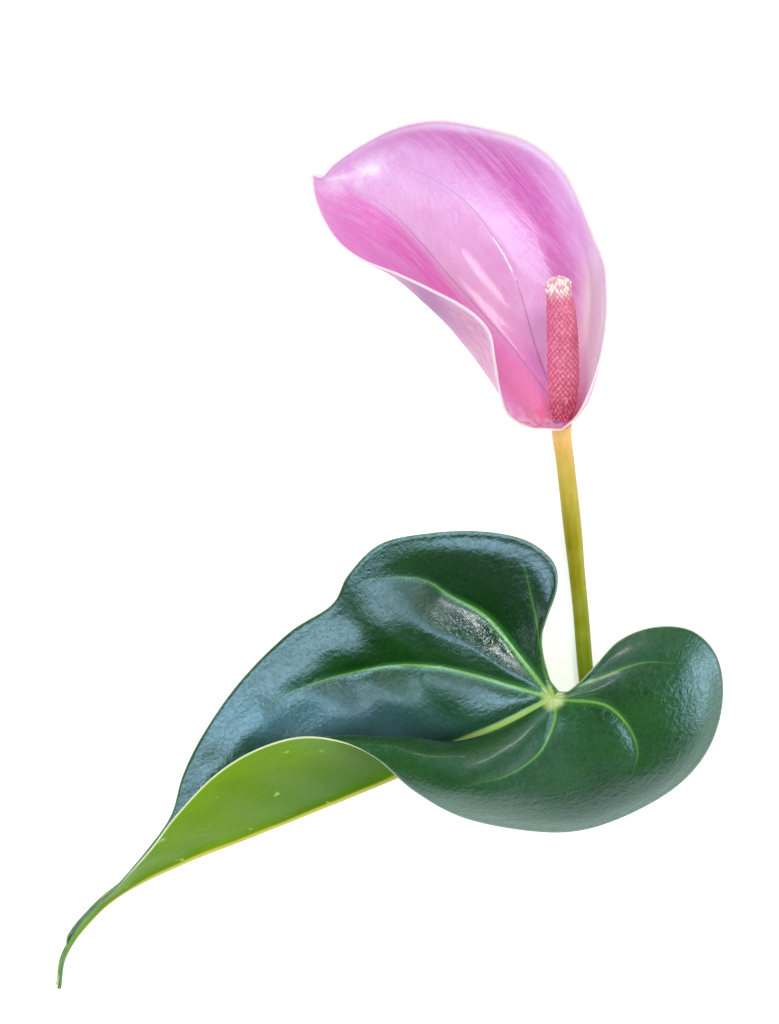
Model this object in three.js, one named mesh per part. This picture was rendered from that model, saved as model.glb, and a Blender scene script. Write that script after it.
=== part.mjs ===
// A picked anthurium flower with its leaf, lying on a table: a pink spathe behind its spadix, on a
// green flower stem, and one heart-shaped leaf on a short leaf stalk. Both stalks grow from a short
// stub of the plant. Units are millimetres. Seen from above, +X is right and +Y runs towards the
// flower; +Z is up from the table.
import * as THREE from "three";

// Driving dimensions
const LEAF = {
  thickness: 0.8,
  columns: 12,
  keel: 0.7,
  grooveDepth: 0.9,
  grooveWidth: 2.6,
  pillowDepth: 2.4, // how far the blade swells between its veins
  pillowWidth: 8,
  ripple: 0.35, // between the fine veins that run along the ribs
  wave: 0.5, // long waves between the midrib and the margin of the far half
};
const SPATHE = {
  thickness: 0.8,
  columns: 10,
  keel: 0.3,
  grooveDepth: 0.4,
  grooveWidth: 2.4,
  pillowDepth: 0.3,
  pillowWidth: 5,
  ripple: 0,
  wave: 0,
};
const KEEL_WIDTH = 1.6;
const LIP_WIDTH = 4.5; // the strip along the leaf's margin that turns down
const JUNCTION_REACH = 6; // round the leaf's junction, where the keel fades out
const FLAT_EDGE = 4; // the relief fades out over this distance from the margin
const COLUMN_CROWDING = 1.3; // above 1, columns stand closer together beside the midrib

// Side veins, in shares of their length: the groove and the swelling beside it start, and both fade out
const GROOVE_START = 0.12;
const SWELL_START = 0.3;
const VEIN_FADE = 0.35;

// Ripples and waves, in ribs: where the ripples fade out, where the long waves are and how far they reach
const RIPPLE_FADE = 4;
const WAVE_RIB = 8.5;
const WAVE_RIBS = 3;
const WAVES_ACROSS = 2.6;
const WAVE_SLANT = 0.06;
const CROWDED_RIBS = 2; // the relief turns from square to the blade to straight down over these ribs

const SPADIX = { around: 22, rows: 30, floretHeight: 0.45 };
const STALK_SIDES = 14;
const STUB_SIDES = 18;

// The leaf's midrib, from the drip tip to the junction with the leaf stalk
const LEAF_MIDRIB = [
  [-100.8, -131.5, 4],
  [-99.3, -121.3, 4.5],
  [-92.9, -111.3, 4.5],
  [-82.1, -101.5, 4],
  [-63.6, -92.2, 2.3],
  [-42.5, -84, 1.5],
  [-20, -75, 4],
  [0.5, -66.5, 8],
  [18, -57.5, 15.5],
  [33, -51, 24],
  [48.5, -43, 31],
];
// The places along the midrib, counted in its points, where the first ribs of both halves start. The
// other ribs all start at the junction.
const LEAF_ROOTS = [0, 1, 2, 3, 4, 4.8, 5.5, 6.2, 6.9, 7.6, 8.3, 9, 9.6, 10];

// Each row of a half blade is one rib, in order from the tip round to the notch between the lobes: the
// x, y, z of its end on the margin, how far its middle bends away from a straight line, in x, y and z,
// and for the leaf how far the last few millimetres before the margin turn down. The ribs between the
// lobes bend so that no rib crosses the next one.
const LEAF_NEAR = [
  [-100.8, -131.5, 4, 0, 0, 0, 0],
  [-98.5, -120.5, 8, 0, 0, 0, 0],
  [-93, -110.8, 11, 0, 0, 0, 0],
  [-82.8, -100.5, 15, 0, 0, 0, 0],
  [-72.4, -89, 20, 0, 0, 0, 0],
  [-64, -78, 28, 0.5, -0.5, 0.5, 0],
  [-52.5, -66, 36, 1, -1, 1, 0],
  [-40, -58, 43, 1, 0, 1, 0],
  [-26.5, -54, 48, 1, 2, 1, 0],
  [-14, -55.5, 48, 2, 4, 1.5, 0],
  [-3.5, -61, 42, 3, 0.5, 5, 0],
  [7, -70.6, 32, 2, -2, 6, 0],
  [21.2, -79, 20, 1, -3, 7, 0.8],
  [39.5, -83.5, 9.2, 0, -3, 5.5, 1.2],
  [56, -84.2, 3.4, 1, -3.5, 3.8, 1.4],
  [71.5, -79.6, 1.8, 2, -3, 3.5, 1.4],
  [87, -70.5, 3.4, 3, -2.5, 3.5, 1.4],
  [96.5, -59, 6.4, 3, -1.5, 3.5, 1.4],
  [100.5, -45, 10.2, 2.5, -1.3, 3.5, 1.4],
  [98.8, -31.6, 15.5, 1.3, -3.8, 3, 1.2],
  [91, -23.3, 21, 2, -5.4, 2, 0.9],
  [79.5, -22, 26, 3.1, -5.4, 1.2, 0.9],
  [68.7, -26, 28.5, 2.9, -4.1, 0.6, 0.6],
  [60.8, -34.4, 30, 1.2, -1.9, 0.3, 0.2],
  [57, -38.6, 30.6, 0.45, -0.85, 0.1, 0],
  [53.8, -41, 31, 0, -0.25, 0, 0],
  [50.3, -41.3, 31, 0, 0, 0, 0],
];
const LEAF_FAR = [
  [-100.8, -131.5, 4, 0, 0, 0, 0],
  [-98.7, -120.8, 4.5, 0, 0, 0, 0],
  [-93.2, -111, 5, 0, 0, 0, 0],
  [-83.1, -101, 5, 0, 0, 0.3, 0],
  [-72.8, -89, 5.5, 0, 0, 1, 0],
  [-66, -79, 6, 0, 0, 2.2, 0],
  [-62.5, -67, 6.5, 0, 0, 3.4, 0],
  [-56, -54, 8.5, 0, 0, 4, 0],
  [-45, -38.5, 12, 0, 0, 4, 0],
  [-30.5, -24, 16.5, 0, 0, 3.5, 0],
  [-17.5, -15.5, 20.5, 0, 0, 2, 0],
  [-12.5, -6.5, 25.5, 0, 0, 1, 0.6],
  [-2.8, 2.8, 31, 0, 0, -1, 1.4],
  [12, 6, 37, -1, -0.3, -3, 2],
  [27, 6.5, 42, -3.8, -0.8, -4.2, 2.2],
  [40, 4, 45, -6.2, -0.5, -4.5, 2.2],
  [48, -2, 46, -7.2, 0, -4.2, 2],
  [49.5, -9, 45, -5.9, 0.2, -3.4, 1.5],
  [46.8, -17.5, 42, -3.7, 0.3, -2.2, 0.8],
  [45, -23.3, 38, -1.9, 0.1, -1, 0],
  [45.2, -29.5, 35.3, -0.5, 0, -0.3, 0],
  [47.4, -36.8, 32.6, 0, 0, 0, 0],
  [50.3, -41.3, 31, 0, 0, 0, 0],
];

// The main side veins of each half of the leaf, in plan, from the junction outwards. Groove says how
// strongly the vein is pressed in, and pillow how strongly the blade swells beside it.
const NEAR_VEINS = [
  { line: [[50, -42], [64, -36.5], [76, -32.5], [88, -33]], groove: 0.7, pillow: 0.3 },
  { line: [[52, -43.5], [64, -45], [71, -51], [74.5, -59], [73, -67]], groove: 1, pillow: 0.4 },
  { line: [[49.5, -45], [49, -51], [44, -60.5], [34, -67], [21, -69]], groove: 1, pillow: 0.4 },
];
const FAR_VEINS = [
  { line: [[49, -42], [46, -34], [44, -22], [42, -12], [39, -2], [32, 3]], groove: 0.4, pillow: 0 },
  { line: [[47, -41], [39, -31], [29, -19], [18, -13], [8, -7.5], [-12, -8]], groove: 1, pillow: 1.3 },
  {
    line: [[47, -42.5], [35, -39.5], [16, -35], [-5, -35], [-28, -41], [-38, -48]],
    groove: 1,
    pillow: 0.8,
  },
];

// The spathe's middle vein, from its tip to its base above the flower stem, and its two halves
const SPATHE_MIDVEIN = [
  [-23, 113.3, 28],
  [-17, 112, 22],
  [-9.5, 109, 17],
  [-1, 104.5, 13],
  [8, 96, 10.5],
  [17, 85.5, 9],
  [28, 73, 8.5],
  [38, 61.5, 9],
  [46.5, 50, 10.5],
  [52, 42, 13.5],
];
const SPATHE_ROOTS = [0, 0.4, 0.8, 1.6, 2.4, 3.2, 4, 4.8, 5.6, 6.3, 7, 7.6, 8.2, 8.7, 9];
const SPATHE_LEFT = [
  [-23, 113.3, 28, 0, 0, 0],
  [-22.8, 110.2, 29.6, -0.2, 0, -0.3],
  [-22, 106, 32, -0.5, 0, -1],
  [-19.2, 99.2, 36, -1, -1, -2],
  [-14.4, 92.5, 41, -2.5, -2.5, -2.5],
  [-7.2, 87.4, 45, -3, -3.5, -2],
  [2.5, 83.5, 48, -3.4, -4.3, -1.5],
  [13, 78.5, 50, -4.6, -5.6, -1],
  [23, 73, 51, -5.5, -6.5, 0],
  [29.5, 66.5, 48, -6, -6.8, 0],
  [31.5, 57.5, 43, -5, -5, -1],
  [33, 49, 36, -3, -3.2, -1.5],
  [35.5, 42, 30, -1.5, -2, -2],
  [41.5, 38.4, 26, -0.5, -1.5, -2],
  [47, 37.9, 23, 0, -1, -1],
  [51.5, 37.5, 21, 0, 0, 0],
];
const SPATHE_RIGHT = [
  [-23, 113.3, 28, 0, 0, 0],
  [-20.3, 112.8, 27.8, 0, 0, -0.4],
  [-16.4, 116.9, 27, 0, 0, -1.5],
  [-8.5, 122.5, 25, 0, 0.5, -3.5],
  [2.5, 128, 23, 0, 1, -6],
  [15, 130, 22, 0, 1, -9],
  [29.5, 127.6, 22, 1, 1, -12.5],
  [42, 123.5, 23, 2, 1, -14.2],
  [51, 116, 25, 2.5, 1, -14.7],
  [56, 107, 27, 3, 0, -14],
  [60.5, 95.5, 29, 3.5, 0, -12.5],
  [64, 86, 31, 3.5, -1, -10.5],
  [64.5, 73, 33, 3, -1.5, -8],
  [63, 61, 34, 2.5, -2, -5.5],
  [59.8, 50, 32, 2, -1.5, -3.5],
  [56, 42, 27, 1, -1, -2],
  [51.5, 37.5, 21, 0, 0, 0],
];

// The side veins of the spathe's right half, in plan, from its base towards its tip
const RIGHT_VEINS = [
  {
    line: [[50, 47], [45, 60], [39, 81], [33, 94], [22, 107.5], [6, 116.5], [-8, 118]],
    groove: 1,
    pillow: 1,
  },
  { line: [[52, 50], [51, 72], [48, 90], [42, 104], [30, 116], [12, 123]], groove: 1, pillow: 1 },
  { line: [[55, 50], [59, 68], [59, 86], [54, 102]], groove: 1, pillow: 1 },
];

// Centre line and radius of the spadix, from its base to its tip, and of both stalks and the stub
const SPADIX_LINE = [
  [51.9, 41.25, 18.1, 2.7],
  [52, 45.5, 20, 3.9],
  [52.1, 52, 22.5, 4.5],
  [51.8, 62, 27, 4.6],
  [51.2, 72, 32, 4.2],
  [50.4, 79, 35.5, 3.5],
];
const FLOWER_STEM_LINE = [
  [51.7, 39.05, 14.85, 3.15],
  [51.9, 34.5, 12.3, 2.95],
  [53, 27, 9.6, 2.85],
  [55.2, 8, 7.2, 2.8],
  [56.5, -5, 6.4, 2.5],
  [57.8, -18, 5.9, 2.4],
  [59.5, -38, 5.2, 2.4],
  [62.6, -58.35, 4.8, 2.3],
];
const LEAF_STALK_LINE = [
  [49.3, -44, 27.9, 2.3],
  [49.4, -44.4, 22.5, 2.5],
  [51, -47.4, 16, 2.2],
  [54.2, -51.7, 10, 2.1],
  [56.8, -55.5, 7.4, 2.1],
  [57.6, -58.15, 6.4, 2.2],
];
const STUB_LINE = [
  [60.2, -59, 5.5, 4.7],
  [60.4, -61, 5.5, 5.3],
  [61, -67, 5.4, 5.2],
  [61.6, -72, 5.2, 4.8],
];

// Smooth curve through rows of numbers, at the place t counted in rows, by the Catmull-Rom rule
function along(rows, t) {
  const last = rows.length - 1;
  const i = Math.min(Math.floor(t), last - 1);
  const f = t - i;
  const row = (k) => {
    if (k < 0) return rows[0].map((x, n) => 2 * x - rows[1][n]);
    if (k > last) return rows[last].map((x, n) => 2 * x - rows[last - 1][n]);
    return rows[k];
  };
  const [a, b, c, d] = [row(i - 1), row(i), row(i + 1), row(i + 2)];
  return b.map((x, n) => {
    const slope = c[n] - a[n];
    const curve = 2 * a[n] - 5 * x + 4 * c[n] - d[n];
    const twist = 3 * (x - c[n]) + d[n] - a[n];
    return x + 0.5 * f * (slope + f * (curve + f * twist));
  });
}

// The point of a half blade on rib t, at share v of the way from the midrib to the margin
function ribPoint(midrib, roots, half, t, v) {
  const [x, y, z, bendX, bendY, bendZ, lip = 0] = along(half, t);
  const rootRows = roots.map((root) => [root]);
  const junction = midrib.length - 1;
  const root = t < roots.length - 1 ? Math.min(along(rootRows, t)[0], junction) : junction;
  const bow = 4 * v * (1 - v);
  const start = new THREE.Vector3(...along(midrib, root));
  const end = new THREE.Vector3(x, y, z);
  const down = lip * bell((1 - v) * start.distanceTo(end), LIP_WIDTH);
  return start
    .lerp(end, v)
    .add(new THREE.Vector3(bendX, bendY, bendZ).multiplyScalar(bow))
    .add(new THREE.Vector3(0, 0, -down));
}

// The nearest place on a line through points: its distance, and how far along the line it is, counted
// in points. A line with two numbers a point is looked at in plan.
function nearest(point, line) {
  const position = point.toArray().slice(0, line[0].length);
  let best = { distance: Infinity, at: 0 };
  for (let k = 0; k + 1 < line.length; k++) {
    const step = line[k + 1].map((x, n) => x - line[k][n]);
    const away = position.map((x, n) => x - line[k][n]);
    const dot = (a, b) => a.reduce((sum, x, n) => sum + x * b[n], 0);
    const s = clamp(dot(away, step) / dot(step, step));
    const distance = Math.hypot(...away.map((x, n) => x - s * step[n]));
    if (distance < best.distance) best = { distance, at: k + s };
  }
  return best;
}

const clamp = (x) => Math.min(Math.max(x, 0), 1);

// A smooth line through points, as many short straight steps
function smoothLine(points) {
  const steps = 8 * (points.length - 1);
  return Array.from({ length: steps + 1 }, (_, k) => along(points, (k / steps) * (points.length - 1)));
}

// Rounded bell that is 1 at zero and fades out past the given width
const bell = (distance, width) => Math.exp(-((distance / width) ** 2));

function vertexNormals(points, faces) {
  const normals = points.map(() => new THREE.Vector3());
  for (const [a, b, c] of faces) {
    const ab = points[b].clone().sub(points[a]);
    const ac = points[c].clone().sub(points[a]);
    const normal = ab.cross(ac);
    for (const k of [a, b, c]) normals[k].add(normal);
  }
  return normals.map((normal) => normal.normalize());
}

// Places of the ribs to build: two to a row of the table, and three to a row where they fan out
function ribPlaces(half, roots) {
  const places = [];
  for (let row = 0; row < half.length - 1; row++) {
    const steps = row < roots.length - 1 ? 2 : 3;
    for (let k = 0; k < steps; k++) places.push(row + k / steps);
  }
  places.push(half.length - 1);
  return places;
}

// How deep each point of a blade is pressed in: grooves along its veins, with the blade swelling
// between them, a ripple from rib to rib and long waves across the far half. The margin stays in place.
function pressDepth(point, { side, place, share, fromEdge, toFan }, midrib, veins, size) {
  let groove = 0;
  let pillow = 0;
  for (const vein of veins[side]) {
    const { distance, at } = nearest(point, vein.smooth);
    const reach = at / (vein.smooth.length - 1);
    const fade = clamp((1 - reach) / VEIN_FADE);
    const press = vein.groove * fade * clamp(reach / GROOVE_START);
    const swell = vein.pillow * fade * clamp(reach / SWELL_START);
    groove = Math.max(groove, press * bell(distance, size.grooveWidth));
    pillow = Math.max(pillow, swell * bell(distance, size.pillowWidth));
  }
  const onRib = clamp(Math.min(place, toFan) / RIPPLE_FADE);
  const ripple = onRib * Math.cos(2 * Math.PI * place) * Math.sin(Math.PI * share);
  const acrossFar = side * bell(place - WAVE_RIB, WAVE_RIBS) * Math.sqrt(Math.sin(Math.PI * share));
  const wave = acrossFar * Math.cos(2 * Math.PI * (WAVES_ACROSS * share + WAVE_SLANT * place));
  const pressed = Math.max(groove, midrib.nearTip * bell(midrib.distance, size.grooveWidth));
  const veined = size.grooveDepth * pressed + size.pillowDepth * pillow;
  return (veined + size.ripple * ripple + size.wave * wave) * clamp(fromEdge / FLAT_EDGE);
}

// Closed solid of a blade. Its halves share the midrib and the last rib; the upper side is the ribbed surface
// with its relief pressed in, and the lower side lies one thickness below it, with a keel under the midrib.
function bladeSolid(midrib, roots, halves, veins, size) {
  const points = [];
  const places = [];
  const ids = new Map();
  const faces = [];
  const rims = [];
  const fanStart = 2 * (roots.length - 1);
  for (const [side, half] of halves.entries()) {
    const ribs = ribPlaces(half, roots);
    const last = ribs.length - 1;
    const grid = ribs.map((t, i) => {
      const row = [];
      const edge = ribPoint(midrib, roots, half, t, 1);
      for (let j = 0; j <= size.columns; j++) {
        const v = (j / size.columns) ** COLUMN_CROWDING;
        let key = `${side}:${i}:${j}`;
        if (j === 0) key = `midrib:${Math.min(i, fanStart)}`;
        if (i === 0) key = "tip";
        if (i === last && j > 0) key = `notch:${j}`;
        if (!ids.has(key)) {
          const point = ribPoint(midrib, roots, half, t, v);
          const fromEdge = point.distanceTo(edge);
          ids.set(key, points.length);
          points.push(point);
          places.push({ side, place: t, share: v, fromEdge, toFan: roots.length - 1 - t });
        }
        row.push(ids.get(key));
      }
      return row;
    });
    for (let i = 0; i < last; i++)
      for (let j = 0; j < size.columns; j++) {
        const quad = [grid[i][j], grid[i + 1][j], grid[i + 1][j + 1], grid[i][j + 1]];
        if (side === 0) quad.reverse();
        const [a, b, c, d] = quad;
        for (const face of [[a, b, c], [a, c, d]]) if (new Set(face).size === 3) faces.push(face);
      }
    const rim = grid.map((row) => row[size.columns]);
    rims.push(side === 0 ? rim.reverse() : rim);
  }

  const midribLine = smoothLine(midrib);
  const smoothVeins = veins.map((list) => list.map((vein) => ({ ...vein, smooth: smoothLine(vein.line) })));
  const fromMidrib = points.map((point) => {
    const { distance, at } = nearest(point, midribLine);
    const rows = (at / (midribLine.length - 1)) * (midrib.length - 1);
    return { distance, nearTip: Math.min(1, rows / RIPPLE_FADE) };
  });
  const flat = vertexNormals(points, faces);
  const up = new THREE.Vector3(0, 0, 1);
  points.forEach((point, k) => {
    const depth = pressDepth(point, places[k], fromMidrib[k], smoothVeins, size);
    const way = flat[k].clone().lerp(up, clamp(1 - places[k].toFan / CROWDED_RIBS)).normalize();
    point.addScaledVector(way, -depth);
  });
  const normals = vertexNormals(points, faces);

  // Round the junction, where the ribs crowd together, the lower side is a plain copy of the upper one
  const junction = new THREE.Vector3(...midrib[midrib.length - 1]);
  const closeness = points.map((point) => bell(point.distanceTo(junction), JUNCTION_REACH));
  const shared = new THREE.Vector3();
  normals.forEach((normal, k) => shared.addScaledVector(normal, closeness[k]));
  shared.normalize();
  const lower = points.map((point, k) => {
    const down = normals[k].clone().lerp(shared, closeness[k]).normalize();
    const keel = size.keel * bell(fromMidrib[k].distance, KEEL_WIDTH) * (1 - closeness[k]);
    return point.clone().addScaledVector(down, -size.thickness - keel);
  });

  const count = points.length;
  const triangles = [...faces, ...faces.map(([a, b, c]) => [count + a, count + c, count + b])];
  for (const rim of rims)
    for (let k = 0; k + 1 < rim.length; k++) {
      const [a, b] = [rim[k], rim[k + 1]];
      triangles.push([a, b, count + b], [a, count + b, count + a]);
    }
  return geometryOf([...points, ...lower], triangles);
}

// Rings of points round a centre line, square to it, with the radius given for each point of each ring
function tubeRings(line, steps, around, radiusAt) {
  const rings = [];
  const up = new THREE.Vector3(0, 0, 1);
  for (let i = 0; i <= steps; i++) {
    const t = (i / steps) * (line.length - 1);
    const nudge = 0.02;
    const [x, y, z, radius] = along(line, t);
    const ahead = new THREE.Vector3(...along(line, Math.min(t + nudge, line.length - 1)));
    const behind = new THREE.Vector3(...along(line, Math.max(t - nudge, 0)));
    const axis = ahead.sub(behind).normalize();
    const across = axis.clone().cross(up).normalize();
    const over = axis.clone().cross(across);
    const ring = [];
    for (let k = 0; k < around; k++) {
      const angle = (2 * Math.PI * k) / around;
      const r = radiusAt(radius, i, k);
      ring.push(
        new THREE.Vector3(x, y, z)
          .addScaledVector(across, r * Math.cos(angle))
          .addScaledVector(over, r * Math.sin(angle)),
      );
    }
    rings.push({ ring, centre: new THREE.Vector3(x, y, z), axis });
  }
  return rings;
}

// Closed solid from rings: walls between them, and a fan to a centre point at both ends
function ringSolid(rings, startCentre, endCentre) {
  const around = rings[0].length;
  const points = [...rings.flat(), startCentre, endCentre];
  const start = points.length - 2;
  const end = points.length - 1;
  const triangles = [];
  for (let i = 0; i + 1 < rings.length; i++)
    for (let k = 0; k < around; k++) {
      const next = (k + 1) % around;
      const [a, b] = [i * around + k, i * around + next];
      const [c, d] = [a + around, b + around];
      if ((i + k) % 2 === 0) triangles.push([a, b, c], [b, d, c]);
      else triangles.push([a, b, d], [a, d, c]);
    }
  const lastRing = (rings.length - 1) * around;
  for (let k = 0; k < around; k++) {
    const next = (k + 1) % around;
    triangles.push([start, next, k], [end, lastRing + k, lastRing + next]);
  }
  return geometryOf(points, triangles);
}

function stalkSolid(line, steps, sides) {
  const rings = tubeRings(line, steps, sides, (radius) => radius);
  return ringSolid(
    rings.map(({ ring }) => ring),
    rings[0].centre,
    rings[rings.length - 1].centre,
  );
}

// The spadix: a finger whose florets are low pyramids in a diamond net, with a rounded tip
function spadixSolid() {
  const floret = (radius, i, k) => radius + (i > 0 && (i + k) % 2 === 0 ? SPADIX.floretHeight : 0);
  const rings = tubeRings(SPADIX_LINE, SPADIX.rows, SPADIX.around, floret);
  const top = rings[rings.length - 1];
  const tipRings = [
    { reach: 1.5, share: 0.86 },
    { reach: 2.6, share: 0.55 },
  ].map(({ reach, share }, step) =>
    top.ring.map((point, k) => {
      const lift = (step + k) % 2 === 0 ? SPADIX.floretHeight : 0;
      const spoke = point.clone().sub(top.centre).normalize();
      const radius = SPADIX_LINE[SPADIX_LINE.length - 1][3] * share + lift;
      return top.centre.clone().addScaledVector(spoke, radius).addScaledVector(top.axis, reach);
    }),
  );
  return ringSolid(
    [...rings.map(({ ring }) => ring), ...tipRings],
    rings[0].centre,
    top.centre.clone().addScaledVector(top.axis, 3.3),
  );
}

function geometryOf(points, triangles) {
  const geometry = new THREE.BufferGeometry();
  const positions = new Float32Array(points.flatMap((point) => point.toArray()));
  geometry.setAttribute("position", new THREE.BufferAttribute(positions, 3));
  geometry.setIndex(triangles.flat());
  geometry.computeVertexNormals();
  return geometry;
}

function addPiece(group, name, geometry, color, roughness) {
  const material = new THREE.MeshStandardMaterial({ color, roughness, metalness: 0 });
  const mesh = new THREE.Mesh(geometry, material);
  mesh.name = name;
  group.add(mesh);
}

const flower = new THREE.Group();
const leafHalves = [LEAF_NEAR, LEAF_FAR];
const leaf = bladeSolid(LEAF_MIDRIB, LEAF_ROOTS, leafHalves, [NEAR_VEINS, FAR_VEINS], LEAF);
const spatheHalves = [SPATHE_LEFT, SPATHE_RIGHT];
const spathe = bladeSolid(SPATHE_MIDVEIN, SPATHE_ROOTS, spatheHalves, [[], RIGHT_VEINS], SPATHE);
addPiece(flower, "leaf_blade", leaf, 0x2f5f2a, 0.3);
addPiece(flower, "leaf_stalk", stalkSolid(LEAF_STALK_LINE, 10, STALK_SIDES), 0x8a9a2c, 0.5);
addPiece(flower, "flower_stem", stalkSolid(FLOWER_STEM_LINE, 18, STALK_SIDES), 0xa8a838, 0.5);
addPiece(flower, "spathe", spathe, 0xe68ad2, 0.35);
addPiece(flower, "spadix", spadixSolid(), 0xc84a6c, 0.6);
addPiece(flower, "stub", stalkSolid(STUB_LINE, 4, STUB_SIDES), 0x7a6a3c, 0.8);

// The part is centred on its origin in plan and rests at zero height
const box = new THREE.Box3().setFromObject(flower, true);
const centre = box.getCenter(new THREE.Vector3());
flower.position.set(-centre.x, -centre.y, -box.min.z);

export default flower;
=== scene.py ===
"""A picked pink anthurium with its glossy heart-shaped leaf, lying on a pale floor and seen from above.

The tables are in millimetres, in the same places as the solids; the meshes are made in metres.
"""

import math

import bpy
import numpy as np
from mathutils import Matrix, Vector


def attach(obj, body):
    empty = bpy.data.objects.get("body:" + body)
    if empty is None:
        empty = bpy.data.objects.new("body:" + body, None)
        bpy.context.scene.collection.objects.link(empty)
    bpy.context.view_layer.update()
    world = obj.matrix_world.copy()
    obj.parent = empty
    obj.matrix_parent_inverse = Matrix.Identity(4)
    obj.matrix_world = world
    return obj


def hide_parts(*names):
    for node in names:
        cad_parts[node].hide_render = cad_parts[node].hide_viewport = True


MM = 0.001
CENTRING = np.array([0.109, 0.47, 0.287])  # from the tables' origin to the part's origin

# The leaf's midrib, from the drip tip to the junction with the leaf stalk
LEAF_MIDRIB = [
    [-100.8, -131.5, 4],
    [-99.3, -121.3, 4.5],
    [-92.9, -111.3, 4.5],
    [-82.1, -101.5, 4],
    [-63.6, -92.2, 2.3],
    [-42.5, -84, 1.5],
    [-20, -75, 4],
    [0.5, -66.5, 8],
    [18, -57.5, 15.5],
    [33, -51, 24],
    [48.5, -43, 31],
]
# The places along the midrib, counted in its points, where the first ribs of both halves start. The
# other ribs all start at the junction.
LEAF_ROOTS = [0, 1, 2, 3, 4, 4.8, 5.5, 6.2, 6.9, 7.6, 8.3, 9, 9.6, 10]
# Each row of a half blade is one rib, in order from the tip round to the notch between the lobes: the
# x, y, z of its end on the margin, how far its middle bends away from a straight line, in x, y and z,
# and for the leaf how far the last few millimetres before the margin turn down.
LEAF_NEAR = [
    [-100.8, -131.5, 4, 0, 0, 0, 0],
    [-98.5, -120.5, 8, 0, 0, 0, 0],
    [-93, -110.8, 11, 0, 0, 0, 0],
    [-82.8, -100.5, 15, 0, 0, 0, 0],
    [-72.4, -89, 20, 0, 0, 0, 0],
    [-64, -78, 28, 0.5, -0.5, 0.5, 0],
    [-52.5, -66, 36, 1, -1, 1, 0],
    [-40, -58, 43, 1, 0, 1, 0],
    [-26.5, -54, 48, 1, 2, 1, 0],
    [-14, -55.5, 48, 2, 4, 1.5, 0],
    [-3.5, -61, 42, 3, 0.5, 5, 0],
    [7, -70.6, 32, 2, -2, 6, 0],
    [21.2, -79, 20, 1, -3, 7, 0.8],
    [39.5, -83.5, 9.2, 0, -3, 5.5, 1.2],
    [56, -84.2, 3.4, 1, -3.5, 3.8, 1.4],
    [71.5, -79.6, 1.8, 2, -3, 3.5, 1.4],
    [87, -70.5, 3.4, 3, -2.5, 3.5, 1.4],
    [96.5, -59, 6.4, 3, -1.5, 3.5, 1.4],
    [100.5, -45, 10.2, 2.5, -1.3, 3.5, 1.4],
    [98.8, -31.6, 15.5, 1.3, -3.8, 3, 1.2],
    [91, -23.3, 21, 2, -5.4, 2, 0.9],
    [79.5, -22, 26, 3.1, -5.4, 1.2, 0.9],
    [68.7, -26, 28.5, 2.9, -4.1, 0.6, 0.6],
    [60.8, -34.4, 30, 1.2, -1.9, 0.3, 0.2],
    [57, -38.6, 30.6, 0.45, -0.85, 0.1, 0],
    [53.8, -41, 31, 0, -0.25, 0, 0],
    [50.3, -41.3, 31, 0, 0, 0, 0],
]
LEAF_FAR = [
    [-100.8, -131.5, 4, 0, 0, 0, 0],
    [-98.7, -120.8, 4.5, 0, 0, 0, 0],
    [-93.2, -111, 5, 0, 0, 0, 0],
    [-83.1, -101, 5, 0, 0, 0.3, 0],
    [-72.8, -89, 5.5, 0, 0, 1, 0],
    [-66, -79, 6, 0, 0, 2.2, 0],
    [-62.5, -67, 6.5, 0, 0, 3.4, 0],
    [-56, -54, 8.5, 0, 0, 4, 0],
    [-45, -38.5, 12, 0, 0, 4, 0],
    [-30.5, -24, 16.5, 0, 0, 3.5, 0],
    [-17.5, -15.5, 20.5, 0, 0, 2, 0],
    [-12.5, -6.5, 25.5, 0, 0, 1, 0.6],
    [-2.8, 2.8, 31, 0, 0, -1, 1.4],
    [12, 6, 37, -1, -0.3, -3, 2],
    [27, 6.5, 42, -3.8, -0.8, -4.2, 2.2],
    [40, 4, 45, -6.2, -0.5, -4.5, 2.2],
    [48, -2, 46, -7.2, 0, -4.2, 2],
    [49.5, -9, 45, -5.9, 0.2, -3.4, 1.5],
    [46.8, -17.5, 42, -3.7, 0.3, -2.2, 0.8],
    [45, -23.3, 38, -1.9, 0.1, -1, 0],
    [45.2, -29.5, 35.3, -0.5, 0, -0.3, 0],
    [47.4, -36.8, 32.6, 0, 0, 0, 0],
    [50.3, -41.3, 31, 0, 0, 0, 0],
]
# The main side veins of each half of the leaf, in plan, from the junction outwards. Groove says how
# strongly the vein is pressed in, pillow how strongly the blade swells beside it, width how wide its
# line of colour is and tone how bright.
LEAF_NEAR_VEINS = [
    {
        "line": [[50, -42], [64, -36.5], [76, -32.5], [88, -33]],
        "groove": 0.7,
        "pillow": 0.3,
        "width": 0.6,
        "tone": 0.5,
    },
    {
        "line": [[52, -43.5], [64, -45], [71, -51], [74.5, -59], [73, -67]],
        "groove": 1,
        "pillow": 0.4,
        "width": 0.85,
        "tone": 0.65,
    },
    {
        "line": [[49.5, -45], [49, -51], [44, -60.5], [34, -67], [21, -69]],
        "groove": 1,
        "pillow": 0.4,
        "width": 0.8,
        "tone": 0.6,
    },
]
LEAF_FAR_VEINS = [
    {
        "line": [[49, -42], [46, -34], [44, -22], [42, -12], [39, -2], [32, 3]],
        "groove": 0.4,
        "pillow": 0,
        "width": 0.9,
        "tone": 0.32,
    },
    {
        "line": [[47, -41], [39, -31], [29, -19], [18, -13], [8, -7.5], [-12, -8]],
        "groove": 1,
        "pillow": 1.3,
        "width": 1.1,
        "tone": 0.95,
    },
    {
        "line": [[47, -42.5], [35, -39.5], [16, -35], [-5, -35], [-28, -41], [-38, -48]],
        "groove": 1,
        "pillow": 0.8,
        "width": 0.9,
        "tone": 0.9,
    },
]

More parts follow.
